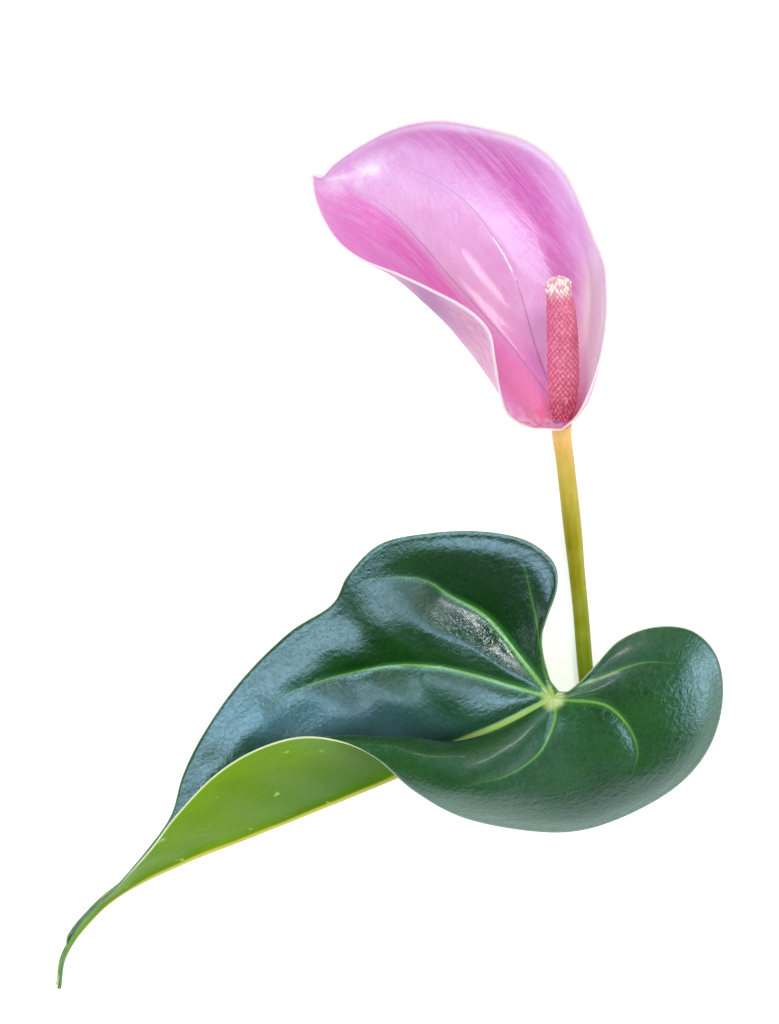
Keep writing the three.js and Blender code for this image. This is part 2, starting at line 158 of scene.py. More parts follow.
# The spathe's middle vein, from its tip to its base above the flower stem, and its two halves
SPATHE_MIDVEIN = [
    [-23, 113.3, 28],
    [-17, 112, 22],
    [-9.5, 109, 17],
    [-1, 104.5, 13],
    [8, 96, 10.5],
    [17, 85.5, 9],
    [28, 73, 8.5],
    [38, 61.5, 9],
    [46.5, 50, 10.5],
    [52, 42, 13.5],
]
SPATHE_ROOTS = [0, 0.4, 0.8, 1.6, 2.4, 3.2, 4, 4.8, 5.6, 6.3, 7, 7.6, 8.2, 8.7, 9]
SPATHE_LEFT = [
    [-23, 113.3, 28, 0, 0, 0],
    [-22.8, 110.2, 29.6, -0.2, 0, -0.3],
    [-22, 106, 32, -0.5, 0, -1],
    [-19.2, 99.2, 36, -1, -1, -2],
    [-14.4, 92.5, 41, -2.5, -2.5, -2.5],
    [-7.2, 87.4, 45, -3, -3.5, -2],
    [2.5, 83.5, 48, -3.4, -4.3, -1.5],
    [13, 78.5, 50, -4.6, -5.6, -1],
    [23, 73, 51, -5.5, -6.5, 0],
    [29.5, 66.5, 48, -6, -6.8, 0],
    [31.5, 57.5, 43, -5, -5, -1],
    [33, 49, 36, -3, -3.2, -1.5],
    [35.5, 42, 30, -1.5, -2, -2],
    [41.5, 38.4, 26, -0.5, -1.5, -2],
    [47, 37.9, 23, 0, -1, -1],
    [51.5, 37.5, 21, 0, 0, 0],
]
SPATHE_RIGHT = [
    [-23, 113.3, 28, 0, 0, 0],
    [-20.3, 112.8, 27.8, 0, 0, -0.4],
    [-16.4, 116.9, 27, 0, 0, -1.5],
    [-8.5, 122.5, 25, 0, 0.5, -3.5],
    [2.5, 128, 23, 0, 1, -6],
    [15, 130, 22, 0, 1, -9],
    [29.5, 127.6, 22, 1, 1, -12.5],
    [42, 123.5, 23, 2, 1, -14.2],
    [51, 116, 25, 2.5, 1, -14.7],
    [56, 107, 27, 3, 0, -14],
    [60.5, 95.5, 29, 3.5, 0, -12.5],
    [64, 86, 31, 3.5, -1, -10.5],
    [64.5, 73, 33, 3, -1.5, -8],
    [63, 61, 34, 2.5, -2, -5.5],
    [59.8, 50, 32, 2, -1.5, -3.5],
    [56, 42, 27, 1, -1, -2],
    [51.5, 37.5, 21, 0, 0, 0],
]
# The side veins of the spathe's right half, in plan, from its base towards its tip. The last one has no
# line of its own.
SPATHE_RIGHT_VEINS = [
    {
        "line": [[50, 47], [45, 60], [39, 81], [33, 94], [22, 107.5], [6, 116.5], [-8, 118]],
        "groove": 1,
        "pillow": 1,
        "width": 1,
        "tone": 1,
    },
    {
        "line": [[52, 50], [51, 72], [48, 90], [42, 104], [30, 116], [12, 123]],
        "groove": 1,
        "pillow": 1,
        "width": 0.9,
        "tone": 0.5,
    },
    {"line": [[55, 50], [59, 68], [59, 86], [54, 102]], "groove": 1, "pillow": 1, "width": 1, "tone": 0},
]

# Centre line and radius of the spadix, from its base to its tip, and of both stalks and the stub
SPADIX_LINE = [
    [51.9, 41.25, 18.1, 2.7],
    [52, 45.5, 20, 3.9],
    [52.1, 52, 22.5, 4.5],
    [51.8, 62, 27, 4.6],
    [51.2, 72, 32, 4.2],
    [50.4, 79, 35.5, 3.5],
]
FLOWER_STEM_LINE = [
    [51.7, 39.05, 14.85, 3.15],
    [51.9, 34.5, 12.3, 2.95],
    [53, 27, 9.6, 2.85],
    [55.2, 8, 7.2, 2.8],
    [56.5, -5, 6.4, 2.5],
    [57.8, -18, 5.9, 2.4],
    [59.5, -38, 5.2, 2.4],
    [62.6, -58.35, 4.8, 2.3],
]
LEAF_STALK_LINE = [
    [49.3, -44, 27.9, 2.3],
    [49.4, -44.4, 22.5, 2.5],
    [51, -47.4, 16, 2.2],
    [54.2, -51.7, 10, 2.1],
    [56.8, -55.5, 7.4, 2.1],
    [57.6, -58.15, 6.4, 2.2],
]
STUB_LINE = [
    [60.2, -59, 5.5, 4.7],
    [60.4, -61, 5.5, 5.3],
    [61, -67, 5.4, 5.2],
    [61.6, -72, 5.2, 4.8],
]

# How each blade is made. Widths, depths and thicknesses are in millimetres.
LEAF = {
    "midrib": LEAF_MIDRIB,
    "roots": LEAF_ROOTS,
    "halves": [(LEAF_NEAR, LEAF_NEAR_VEINS), (LEAF_FAR, LEAF_FAR_VEINS)],
    "steps": 14,  # rows of points from one rib to the next
    "columns": 60,  # from the midrib to the margin
    "thickness": 0.8,
    "edge_thickness": 0.55,
    "keel": 0.7,
    "midrib_width": 0.8,
    "groove_depth": 0.9,
    "groove_width": 2.6,
    "pillow_depth": 2.4,  # how far the blade swells between its veins
    "pillow_width": 8,
    "ripple": 0.35,  # between the fine veins that run along the ribs
    "wave": 0.5,  # long waves between the midrib and the margin of the far half
}
SPATHE = {
    "midrib": SPATHE_MIDVEIN,
    "roots": SPATHE_ROOTS,
    "halves": [(SPATHE_LEFT, []), (SPATHE_RIGHT, SPATHE_RIGHT_VEINS)],
    "steps": 20,
    "columns": 64,
    "thickness": 0.8,
    "edge_thickness": 0.6,
    "keel": 0.3,
    "midrib_width": 0.35,
    "groove_depth": 0.4,
    "groove_width": 2.4,
    "pillow_depth": 0.3,
    "pillow_width": 5,
    "ripple": 0,
    "wave": 0,
}
KEEL_WIDTH = 1.6
LIP_WIDTH = 4.5  # the strip along the leaf's margin that turns down
JUNCTION_REACH = 6  # round the leaf's junction, where the keel fades out
FLAT_EDGE = 4  # the relief fades out over this distance from the margin
FULL_THICKNESS = 12  # from this distance to the margin on, a blade has its full thickness
COLUMN_CROWDING = 1.15  # above 1, columns stand closer together beside the midrib
MIDRIB_TIP = 0.3  # width of the midrib's line at the tip, as a share of its width at the junction
MIDRIB_FADE = 4  # towards the tip, the midrib fades out over these of its points
SAME_PLACE = 4  # points that are alike to this many decimals are one point

# Side veins, in shares of their length: the groove and the swelling beside it start, both fade out,
# and the line of colour fades out. Its width falls by LINE_TAPER from LINE_START on the way.
GROOVE_START = 0.12
SWELL_START = 0.3
VEIN_FADE = 0.35
LINE_FADE = 0.55
LINE_START = 1.2
LINE_TAPER = 0.8
FAR_OFF = 4.0  # a vein's colour ends well within this distance
VEINS = 3  # the most side veins that half a blade has

# Ripples and long waves, placed by ribs
RIPPLE_FADE = 4  # towards the tip and the junction, the ripples fade out over these ribs
WAVE_RIB = 8.5  # where the waves are deepest
WAVE_RIBS = 3  # how far they reach
WAVES_ACROSS = 2.6  # from the midrib to the margin
WAVE_SLANT = 0.06  # shift from one rib to the next, in waves
CROWDED_RIBS = 2  # over these ribs, the relief turns from square to the blade to straight down

# Places for patterns that follow a blade's growth: roughly how far one rib is from the next, and how far
# apart the patterns of the two halves are kept
FLOW_STEP = 6
FLOW_APART = 50

SPADIX = {
    "around": 240,
    "rows": 346,
    "tip_rows": 56,
    "tip_height": 4.0,
    "tip_bluntness": 0.7,  # 1 would make the tip's outline part of an ellipse, and less makes it blunter
    "florets_around": 17,
    "floret_rows": 44,
    "floret_height": 0.36,
    "wander": 0.1,  # how far the rows of florets stray, in florets
    "whitish_from": 0.88,  # share of the length from which the florets are whitish and knobby
    "knobs": 0.9,
}
TONES = 64  # the florets' tones repeat after this many
STALK_AROUND = 64
STALK_ROWS = 160

# The lights, by azimuth (0 is +X and 90 is +Y) and elevation, how wide each looks from the flower, all in
# degrees, its radiance and its colour
LIGHTS = [
    ("light_west", 198, 61, 29, 7.5, (0.6, 0.85, 1.0)),
    ("light_key", 62, 72, 12, 29, (1.0, 0.95, 0.9)),
    ("light_low_key", 43, 34, 8, 13, (1.0, 0.97, 0.95)),
    ("light_right", 346, 9, 32, 8, (0.6, 0.85, 1.0)),
    ("light_left", 203, 42, 26, 3, (0.65, 0.97, 1.0)),
    ("light_south", 256, 70, 24, 5, (0.6, 0.85, 1.0)),
    ("light_back", 105, 40, 60, 0.7, (1.0, 0.98, 0.96)),
]
SKY_COLOUR = (0.9, 0.93, 1.0, 1)
SKY_STRENGTH = 0.22
FLOOR_HALF = 20
CAMERA_PLACE = (-0.00004, 0.01313, 2.13)
CAMERA_LENS = 246.7


def along(rows, places):
    """Smooth curve through rows of numbers, at places counted in rows, by the Catmull-Rom rule."""
    rows = np.asarray(rows, float)
    places = np.asarray(places, float)
    if rows.ndim == 1:
        rows = rows[:, None]
    last = len(rows) - 1
    i = np.minimum(np.floor(places).astype(int), last - 1)
    f = (places - i)[:, None]
    padded = np.vstack([2 * rows[0] - rows[1], rows, 2 * rows[-1] - rows[-2]])
    a, b, c, d = padded[i], padded[i + 1], padded[i + 2], padded[i + 3]
    return b + 0.5 * f * (c - a + f * (2 * a - 5 * b + 4 * c - d + f * (3 * (b - c) + d - a)))


def unit(vectors):
    """The same vectors with length one."""
    return vectors / np.maximum(np.linalg.norm(vectors, axis=-1, keepdims=True), 1e-12)


def bell(distance, width):
    """1 at zero, fading out past the given width."""
    return np.exp(-((distance / width) ** 2))


def vertex_normals(points, triangles):
    """The directions square to a surface at each of its points."""
    corners = points[triangles]
    faces = np.cross(corners[:, 1] - corners[:, 0], corners[:, 2] - corners[:, 0])
    normals = np.zeros_like(points)
    for k in range(3):
        np.add.at(normals, triangles[:, k], faces)
    return unit(normals)


def vein_reach(points, line):
    """How each point of half a blade lies to a vein: signed distance, and place along it from 0 to 1."""
    steps = 8 * (len(line) - 1)
    plan = along(line, np.linspace(0, len(line) - 1, steps + 1))
    nearest = [np.argmin(np.linalg.norm(points[:, :2] - at, axis=1)) for at in plan]
    heights = np.pad(points[nearest, 2], 2, "edge")
    curve = np.column_stack([plan, np.convolve(heights, np.ones(5) / 5, "valid")])
    best = np.full(len(points), np.inf)
    share = np.zeros(len(points))
    side = np.zeros(len(points))
    for k in range(steps):
        start, step = curve[k], curve[k + 1] - curve[k]
        from_start = points - start
        s = from_start @ step / (step @ step)
        distance = np.linalg.norm(from_start - np.clip(s, 0, 1)[:, None] * step, axis=1)
        closer = distance < best
        best[closer] = distance[closer]
        share[closer] = np.clip((k + s[closer]) / steps, 0, 1)
        side[closer] = np.sign(step[0] * from_start[closer, 1] - step[1] * from_start[closer, 0])
    return best * side, share


def midrib_reach(points, line):
    """Distance of each point from the midrib, and the place of the midrib's nearest point, in rows."""
    places = np.linspace(0, len(line) - 1, 12 * (len(line) - 1) + 1)
    curve = along(line, places)
    best = np.full(len(points), np.inf)
    nearest = np.zeros(len(points))
    for at, start, step in zip(places, curve, np.diff(curve, axis=0)):
        s = np.clip((points - start) @ step / (step @ step), 0, 1)
        distance = np.linalg.norm(points - start - s[:, None] * step, axis=1)
        closer = distance < best
        best[closer] = distance[closer]
        nearest[closer] = at
    return best, nearest


def rib_grids(size, v):
    """Each half of a blade: its side, the places of its rows in ribs, its grid of points, its veins."""
    roots = np.asarray(size["roots"], float)
    fan_start = len(roots) - 1
    grids = []
    for side, (half, veins) in enumerate(size["halves"]):
        t = np.arange((len(half) - 1) * size["steps"] + 1) / size["steps"]
        table = along(half, t)
        root = np.where(t < fan_start, along(roots, np.minimum(t, fan_start))[:, 0], roots[-1])
        start = along(size["midrib"], np.minimum(root, len(size["midrib"]) - 1))
        share = v[None, :, None]
        bow = 4 * share * (1 - share)
        points = start[:, None] * (1 - share) + table[:, None, :3] * share + table[:, None, 3:6] * bow
        if table.shape[1] > 6:
            lengths = np.linalg.norm(table[:, :3] - start, axis=1)
            points[:, :, 2] -= table[:, 6:] * bell((1 - v) * lengths[:, None], LIP_WIDTH)
        grids.append((side, t, points, veins))
    return grids


def half_numbers(size, v, side, t, grid, veins):
    """Numbers for each point of half a blade: its place, and the veins' relief and lines."""
    rows, columns = grid.shape[:2]
    points = grid.reshape(-1, 3)
    count = len(points)
    info = {
        "side": np.full(count, float(side)),
        "place": np.repeat(t, columns),
        "share": np.tile(v, rows),
        "from_edge": np.linalg.norm(grid - grid[:, -1:], axis=2).reshape(-1),
        "across": np.linalg.norm(grid - grid[:, :1], axis=2).reshape(-1),
        "groove": np.zeros(count),
        "pillow": np.zeros(count),
        "offsets": np.full((count, VEINS), FAR_OFF),
        "strengths": np.zeros((count, VEINS)),
    }
    for k, vein in enumerate(veins):
        offset, reach = vein_reach(points, vein["line"])
        distance = np.abs(offset)
        width = vein["width"] * (LINE_START - LINE_TAPER * reach)
        tone = vein["tone"] * np.clip((1 - reach) / LINE_FADE, 0, 1)
        info["offsets"][:, k] = np.clip(offset / width, -FAR_OFF, FAR_OFF)
        info["strengths"][:, k] = np.where(distance < FAR_OFF, tone, 0)
        fade = np.clip((1 - reach) / VEIN_FADE, 0, 1)
        press = fade * np.clip(reach / GROOVE_START, 0, 1) * vein["groove"]
        info["groove"] = np.maximum(info["groove"], press * bell(distance, size["groove_width"]))
        swell = fade * np.clip(reach / SWELL_START, 0, 1) * vein["pillow"]
        info["pillow"] = np.maximum(info["pillow"], swell * bell(distance, size["pillow_width"]))
    return info


def joined_halves(size):
    """A blade before its relief: its points, each half's grid of points, and each point's numbers.

    Points that fall together are made one.
    """
    v = (np.arange(size["columns"] + 1) / size["columns"]) ** COLUMN_CROWDING
    grids = rib_grids(size, v)
    points = np.vstack([grid.reshape(-1, 3) for _, _, grid, _ in grids])
    rounded = np.round(points, SAME_PLACE)
    _, first, ids = np.unique(rounded, axis=0, return_index=True, return_inverse=True)
    shapes = [grid.shape[:2] for _, _, grid, _ in grids]
    near_ids, far_ids = np.split(ids.reshape(-1), [shapes[0][0] * shapes[0][1]])
    id_grids = [near_ids.reshape(shapes[0]), far_ids.reshape(shapes[1])]
    halves = [half_numbers(size, v, *grid) for grid in grids]
    info = {name: np.concatenate([half[name] for half in halves])[first] for name in halves[0]}
    return points[first], id_grids, info


def upper_triangles(id_grids):
    """The triangles of a blade's upper side, without those that have no area."""
    triangles = []
    for side, grid in enumerate(id_grids):
        a, b, c, d = grid[:-1, :-1], grid[1:, :-1], grid[1:, 1:], grid[:-1, 1:]
        if side == 0:
            a, b, c, d = d, c, b, a
        triangles.append(np.stack([a, b, c], -1).reshape(-1, 3))
        triangles.append(np.stack([a, c, d], -1).reshape(-1, 3))
    triangles = np.vstack(triangles)
    a, b, c = triangles.T
    return triangles[(a != b) & (b != c) & (a != c)]


def press_depth(size, info, midrib_groove):
    """How deep each point is pressed in: grooves along the veins, with the blade swelling between them, a
    ripple from rib to rib and long waves across the far half. The margin stays in place."""
    place, share = info["place"], info["share"]
    fan_start = len(size["roots"]) - 1
    depth = size["groove_depth"] * np.maximum(info["groove"], midrib_groove)
    on_rib = np.clip(np.minimum(place, fan_start - place) / RIPPLE_FADE, 0, 1)
    ripple = np.cos(2 * math.pi * place) * np.sin(math.pi * share)
    depth += on_rib * size["ripple"] * ripple
    depth += size["pillow_depth"] * info["pillow"]
    across_far = info["side"] * bell(place - WAVE_RIB, WAVE_RIBS) * np.sin(math.pi * share) ** 0.5
    wave = np.cos(2 * math.pi * (WAVES_ACROSS * share + WAVE_SLANT * place))
    depth += size["wave"] * across_far * wave
    return depth * np.clip(info["from_edge"] / FLAT_EDGE, 0, 1)


def lower_side(size, points, triangles, info, from_midrib):
    """The points of a blade's lower side, and how close each is to the junction."""
    # Round the junction, where the ribs crowd together, the lower side is a plain copy of the upper one
    normals = vertex_normals(points, triangles)
    closeness = bell(np.linalg.norm(points - size["midrib"][-1], axis=1), JUNCTION_REACH)
    shared = unit(closeness @ normals)
    normals = unit(normals + closeness[:, None] * (shared - normals))
    rise = np.clip(info["from_edge"] / FULL_THICKNESS, 0, 1)
    thick = size["edge_thickness"] + (size["thickness"] - size["edge_thickness"]) * rise
    keel = size["keel"] * bell(from_midrib, KEEL_WIDTH) * (1 - closeness)
    return points - (thick + keel)[:, None] * normals, closeness


def round_rim(size, points, lower, id_grids):
    """The rim all round a blade: which points it runs along, its own middle points, and its triangles."""
    count = len(points)
    loop = np.concatenate([id_grids[0][::-1, -1], id_grids[1][1:, -1]])[:-1]
    inner = np.concatenate([id_grids[0][::-1, -2], id_grids[1][1:, -2]])[:-1]
    outward = points[loop] - points[inner]
    tip = np.linalg.norm(outward, axis=1) < 1e-6
    outward[tip] = points[loop[tip]] - along(size["midrib"], [0.5])[0]
    middle = (points[loop] + lower[loop]) / 2 + 0.5 * size["edge_thickness"] * unit(outward)
    a, b = loop, np.roll(loop, -1)
    ma = 2 * count + np.arange(len(loop))
    mb = np.roll(ma, -1)
    triangles = [[a, b, mb], [a, mb, ma], [ma, mb, count + b], [ma, count + b, count + a]]
    return loop, middle, np.vstack([np.stack(corners, -1) for corners in triangles])


def blade_mesh(size):
    """A whole blade: points, triangles, the part that each triangle is of, and each point's numbers.

    The parts are 0 for the upper side, 1 for the lower side and 2 for the rim.
    """
    points, id_grids, info = joined_halves(size)
    triangles = upper_triangles(id_grids)
    from_midrib, row = midrib_reach(points, size["midrib"])
    near_tip = np.minimum(1, row / MIDRIB_FADE)
    line_width = size["midrib_width"] * (MIDRIB_TIP + (1 - MIDRIB_TIP) * (row / row.max()) ** 3)
    info["midrib"] = near_tip * bell(from_midrib, line_width)
    info["keel"] = near_tip * bell(from_midrib, KEEL_WIDTH)

    # The relief is pressed in square to the blade, but straight down where the ribs crowd together
    depth = press_depth(size, info, near_tip * bell(from_midrib, size["groove_width"]))
    crowded = np.clip((info["place"] - len(size["roots"]) + 1) / CROWDED_RIBS + 1, 0, 1)[:, None]
    press_way = unit((1 - crowded) * vertex_normals(points, triangles) + crowded * [0, 0, 1])
    points = points - depth[:, None] * press_way

    lower, info["junction"] = lower_side(size, points, triangles, info, from_midrib)
    loop, middle, rim = round_rim(size, points, lower, id_grids)
    under = triangles[:, ::-1] + len(points)
    parts = np.repeat([0, 1, 2], [len(triangles), len(under), len(rim)])
    info = {name: np.concatenate([values, values, values[loop]]) for name, values in info.items()}
    return np.vstack([points, lower, middle]), np.vstack([triangles, under, rim]), parts, info


def make_piece(name, points, triangles, parts, materials, numbers, node):
    """Makes one piece of the flower in place, in metres, with its numbers for the materials."""
    placed = points + CENTRING
    placed[:, 2] = np.maximum(placed[:, 2], 0)
    mesh = bpy.data.meshes.new(name)
    mesh.from_pydata((placed * MM).tolist(), [], triangles.tolist())
    for material in materials:
        mesh.materials.append(material)
    mesh.polygons.foreach_set("material_index", np.asarray(parts, np.int32))
    mesh.polygons.foreach_set("use_smooth", np.ones(len(triangles), bool))
    for key, values in numbers.items():
        values = np.asarray(values, np.float32)
        kind = "FLOAT" if values.ndim == 1 else "FLOAT_VECTOR"
        attribute = mesh.attributes.new(key, kind, "POINT")
        attribute.data.foreach_set("value" if values.ndim == 1 else "vector", values.reshape(-1))
    mesh.update()
    piece = bpy.data.objects.new(name, mesh)
    bpy.context.scene.collection.objects.link(piece)
    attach(piece, "root")
    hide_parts(node)
    return piece


def frames_along(line, count):
    """Centres, radii and square directions at even places along a table of x, y, z, radius."""
    t = np.linspace(0, len(line) - 1, count)
    rows = along(line, t)
    nudge = 0.02
    ahead = along(line, np.minimum(t + nudge, len(line) - 1))[:, :3]
    behind = along(line, np.maximum(t - nudge, 0))[:, :3]
    axis = unit(ahead - behind)
    across = unit(np.cross(axis, [0, 0, 1]))
    over = np.cross(across, axis)
    return rows[:, :3], rows[:, 3], axis, across, over


def tube_mesh(centres, across, over, radii, around):
    """Closed tube through rings; radii may be given for each point of each ring."""
    angle = 2 * math.pi * np.arange(around) / around
    radii = np.broadcast_to(np.asarray(radii, float).reshape(len(centres), -1), (len(centres), around))
    spokes = across[:, None] * np.cos(angle)[None, :, None] + over[:, None] * np.sin(angle)[None, :, None]
    rings = centres[:, None] + spokes * radii[:, :, None]
    points = np.vstack([rings.reshape(-1, 3), centres[:1], centres[-1:]])
    ids = np.arange(len(centres) * around).reshape(len(centres), around)
    a, b = ids[:-1], np.roll(ids, -1, axis=1)[:-1]
    c, d = ids[1:], np.roll(ids, -1, axis=1)[1:]
    walls = np.vstack([np.stack([a, b, d], -1).reshape(-1, 3), np.stack([a, d, c], -1).reshape(-1, 3)])
    start, end = len(points) - 2, len(points) - 1
    first, last = ids[0], ids[-1]
    top = [np.full(around, start), np.roll(first, -1), first]
    bottom = [np.full(around, end), last, np.roll(last, -1)]
    caps = np.vstack([np.stack(corners, -1) for corners in (top, bottom)])
    return points, np.vstack([walls, caps])


# Short ways to build a material's nodes. A value may be a number, a colour, the name of a number that the
# mesh carries for each point, or another node's output.


def plug(tree, socket, value):
    """Sets a socket, or links it to a number of the mesh or another node's output."""
    if isinstance(value, str):
        value = add_node(tree, "ShaderNodeAttribute", {"attribute_name": value}).outputs["Fac"]
    if isinstance(value, bpy.types.NodeSocket):
        tree.links.new(value, socket)
    elif isinstance(value, tuple) and len(value) == 3 and socket.type == "RGBA":
        socket.default_value = (*value, 1)
    else:
        socket.default_value = value


def add_node(tree, kind, settings=None, **inputs):
    """A new node with its settings and inputs."""
    node = tree.nodes.new(kind)
    for name, value in (settings or {}).items():
        setattr(node, name, value)
    for name, value in inputs.items():
        plug(tree, node.inputs[name], value)
    return node


def vector(tree, name):
    """One of the number triples that the mesh carries for each point."""
    return add_node(tree, "ShaderNodeAttribute", {"attribute_name": name}).outputs["Vector"]


def place(tree):
    """Where a point is on the piece, in metres."""
    return add_node(tree, "ShaderNodeTexCoord").outputs["Object"]


def scaled(tree, source, x, y, z):
    """Places stretched or squeezed along each direction."""
    node = add_node(tree, "ShaderNodeMapping", Vector=source)
    node.inputs["Scale"].default_value = (x, y, z)
    return node.outputs["Vector"]


def noise(tree, source, scale, detail=3.0, roughness=0.5, warp=0.0):
    """Cloudy noise around 0.5."""
    node = add_node(tree, "ShaderNodeTexNoise", Vector=source, Scale=scale, Detail=detail)
    node.inputs["Roughness"].default_value = roughness
    node.inputs["Distortion"].default_value = warp
    return node.outputs["Fac"]


def cells(tree, source, scale):
    """Distance from the borders of a net of cells."""
    settings = {"feature": "DISTANCE_TO_EDGE"}
    return add_node(tree, "ShaderNodeTexVoronoi", settings, Vector=source, Scale=scale).outputs["Distance"]


def maths(tree, operation, a, b=0.0):
    """A sum, product or the like of two values."""
    node = tree.nodes.new("ShaderNodeMath")
    node.operation = operation
    plug(tree, node.inputs[0], a)
    plug(tree, node.inputs[1], b)
    return node.outputs[0]


def times(tree, a, b):
    return maths(tree, "MULTIPLY", a, b)


def plus(tree, a, b):
    return maths(tree, "ADD", a, b)


def fit(tree, value, low, high, start=0.0, end=1.0):
    """Takes a value from the range low..high to start..end, with soft ends."""
    settings = {"interpolation_type": "SMOOTHSTEP"}
    node = add_node(tree, "ShaderNodeMapRange", settings, Value=value)
    for name, x in (("From Min", low), ("From Max", high), ("To Min", start), ("To Max", end)):
        node.inputs[name].default_value = x
    return node.outputs["Result"]


def mix(tree, share, a, b):
    """Colour a where share is 0, b where it is 1, and between them otherwise."""
    node = tree.nodes.new("ShaderNodeMix")
    node.data_type = "RGBA"
    plug(tree, node.inputs[0], share)
    plug(tree, node.inputs[6], a)
    plug(tree, node.inputs[7], b)
    return node.outputs[2]


def layers(tree, colour, *coats):
    """Colours laid over a first one. Each coat is how much it covers, from 0 to 1, and its colour."""
    for share, coat in coats:
        colour = mix(tree, share, colour, coat)
    return colour


def veins(tree, wide):
    """1 on the side veins and 0 off them; wide is how far their colour reaches, in widths of a vein."""
    offsets = add_node(tree, "ShaderNodeSeparateXYZ", Vector=vector(tree, "offsets"))
    strengths = add_node(tree, "ShaderNodeSeparateXYZ", Vector=vector(tree, "strengths"))
    total = 0.0
    for axis in "XYZ":
        near = fit(tree, maths(tree, "ABSOLUTE", offsets.outputs[axis]), 0.35 * wide, wide, 1.0, 0.0)
        total = maths(tree, "MAXIMUM", times(tree, near, strengths.outputs[axis]), total)
    return total


def new_material(name, **values):
    """A material and its node tree. The values are set on its shader, the same all over."""
    material = bpy.data.materials.new(name)
    material.use_nodes = True
    tree = material.node_tree
    for key, value in values.items():
        tree.nodes["Principled BSDF"].inputs[key.replace("_", " ")].default_value = value
    return material, tree


def dressed(material, colour, roughness, height, depth):
    """The material with its colour, roughness and bumps, whose depth is in metres."""
    tree = material.node_tree
    shader = tree.nodes["Principled BSDF"]
    bump = add_node(tree, "ShaderNodeBump", Height=height, Distance=depth, Strength=1.0)
    tree.links.new(colour, shader.inputs["Base Color"])
    tree.links.new(roughness, shader.inputs["Roughness"])
    tree.links.new(bump.outputs["Normal"], shader.inputs["Normal"])
    return material


def srgb(red, green, blue):
    """Screen colour from 0 to 255 as the shader's linear colour."""
    shares = [x / 255 for x in (red, green, blue)]
    return tuple(((x + 0.055) / 1.055) ** 2.4 if x > 0.04045 else x / 12.92 for x in shares)


def leaf_upper_material():
    """Dark green with pale veins and a waxy gloss, with painted shade over the far half and the middle of
    the near half, and a painted blue-grey sheen beside the fold.
    """
    material, tree = new_material(
        "leaf_upper",
        IOR=1.5,
        Specular_IOR_Level=0.75,
        Specular_Tint=(0.72, 0.82, 1.0, 1),
        Coat_Weight=0.15,
        Coat_Roughness=0.14,
    )
    at = place(tree)
    broad = noise(tree, at, 30, 3, 0.55, 0.4)
    fine = noise(tree, at, 420, 4, 0.6)
    net = cells(tree, at, 420)
    # A painted blue-grey sheen on the far half beside the fold, broken up by cloudy noise
    painted_sheen = times(tree, "painted_sheen", fit(tree, broad, 0.3, 0.7, 0.5, 0.85))
    # By the notch, a light line runs a little inside the margin, with lighter green outside it
    outside = times(tree, "notch", fit(tree, "from_edge", 1.2, 1.8, 1, 0))
    off_line = maths(tree, "ABSOLUTE", plus(tree, "from_edge", -1.8))
    line = times(tree, "notch", fit(tree, off_line, 0.1, 0.45, 0.9, 0))
    colour = layers(
        tree,
        mix(tree, fit(tree, broad, 0.3, 0.7), srgb(16, 56, 8), srgb(30, 78, 18)),
        (fit(tree, net, 0, 0.12, 0.1, 0), srgb(66, 122, 46)),
        (fit(tree, fine, 0.35, 0.75, 0, 0.35), srgb(20, 72, 18)),
        # Painted shade over the far half and the middle of the near half
        (times(tree, "dim", 0.8), srgb(8, 40, 2)),
        # The painted blue-grey sheen
        (painted_sheen, srgb(98, 138, 154)),
        (veins(tree, 2.4), srgb(44, 102, 28)),
        (veins(tree, 0.75), srgb(130, 166, 70)),
        (fit(tree, "midrib", 0.2, 0.8), srgb(156, 182, 86)),
        (fit(tree, "junction", 0.5, 0.9, 0, 0.9), srgb(182, 188, 100)),
        (outside, srgb(74, 112, 24)),
        (line, srgb(150, 176, 60)),
        (fit(tree, "from_edge", 0.1, 0.4, 0.6, 0), srgb(84, 116, 60)),
    )
    roughness = plus(tree, fit(tree, fine, 0.3, 0.7, 0.2, 0.32), times(tree, "satin", 0.2))
    roughness = plus(tree, roughness, times(tree, "crinkle", -0.12))
    wrinkles = times(tree, noise(tree, at, 650, 3, 0.6, 0.8), plus(tree, times(tree, "crinkle", 0.3), 0.9))
    creases = noise(tree, scaled(tree, vector(tree, "flow"), 0.5, 0.1, 1), 1.0, 3, 0.6, 0.5)
    height = plus(tree, plus(tree, times(tree, net, 0.5), wrinkles), times(tree, creases, 0.6))
    return dressed(material, colour, roughness, height, 0.00018)


def leaf_under_material():
    """Yellow-green and matt, with a paler keel, pale edges and a few flecks."""
    tint = (1.0, 1.0, 0.6, 1)
    material, tree = new_material("leaf_under", IOR=1.45, Specular_IOR_Level=0.12, Specular_Tint=tint)
    at = place(tree)
    broad = noise(tree, at, 25, 3, 0.5, 0.3)
    streaks = noise(tree, scaled(tree, vector(tree, "flow"), 0.9, 0.12, 1), 1.0, 3, 0.55)
    fleck = noise(tree, scaled(tree, at, 1, 1.6, 1), 180, 2, 0.5)
    net = cells(tree, at, 420)
    colour = layers(
        tree,
        mix(tree, fit(tree, broad, 0.3, 0.7), srgb(96, 126, 0), srgb(116, 146, 2)),
        (fit(tree, streaks, 0.35, 0.7, 0, 0.35), srgb(84, 120, 2)),
        ("shade", srgb(70, 106, 2)),
        (fit(tree, net, 0, 0.12, 0.08, 0), srgb(130, 168, 60)),
        (fit(tree, fleck, 0.68, 0.76, 0, 0.6), srgb(190, 205, 110)),
        (times(tree, veins(tree, 1.2), fit(tree, "from_edge", 2.0, 6.0)), srgb(128, 162, 52)),
        (fit(tree, "keel", 0.3, 0.8), srgb(206, 184, 78)),
        (fit(tree, "from_edge", 0.1, 0.45, 1, 0), srgb(196, 200, 130)),
    )
    return dressed(material, colour, fit(tree, broad, 0.3, 0.7, 0.42, 0.6), net, 0.00012)


